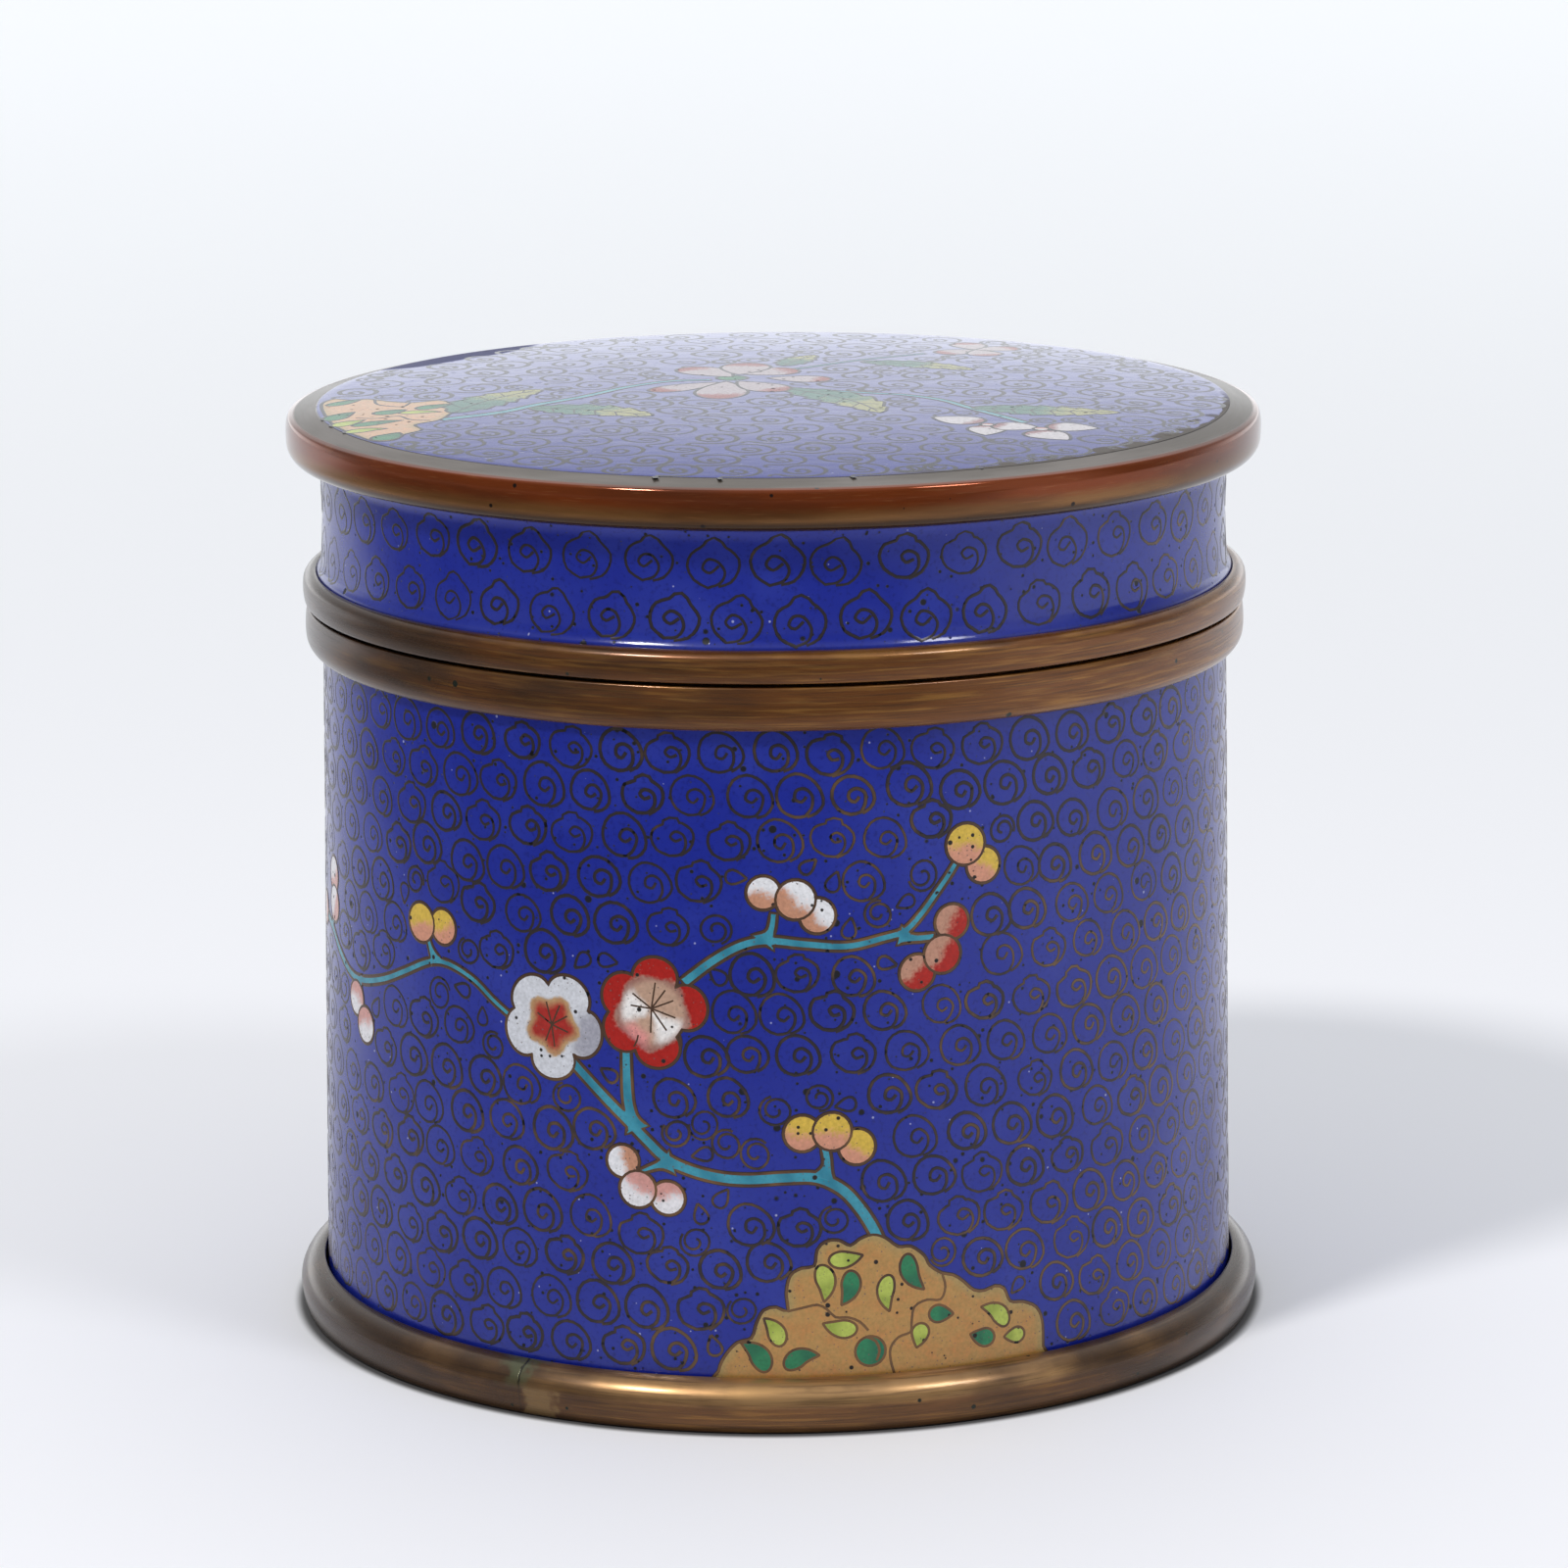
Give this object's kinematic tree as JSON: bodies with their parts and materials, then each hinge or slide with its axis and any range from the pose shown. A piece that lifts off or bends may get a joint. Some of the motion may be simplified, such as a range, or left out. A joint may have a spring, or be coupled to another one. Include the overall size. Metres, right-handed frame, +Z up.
{
  "type": "cloisonne lidded jar",
  "caption": "Round cloisonne jar with a lift-off lid, enamelled in blue with prunus blossom and cloud scrolls, for keeping small things or for display.",
  "frame": {"origin": "centre of the underside, on the surface that the jar stands on", "axes": "+Z up, along the jar's axis of turning; the rock and the blossom branches face -Y"},
  "size_m": [0.0994, 0.0994, 0.0944],
  "materials": {
    "blue_enamel": "glossy vitreous enamel in deep cobalt blue, with bronze wires and coloured inlays",
    "aged_brass": "brushed brass, browned with age",
    "polished_copper": "polished red copper, browned with age"
  },
  "bodies": {
    "root": {"jar_body": "blue_enamel", "foot_ring": "aged_brass", "mouth_ring": "aged_brass", "inner_collar": "aged_brass", "lid_shell": "blue_enamel", "lid_skirt_ring": "aged_brass", "lid_top_ring": "polished_copper"}
  },
  "joints": []
}
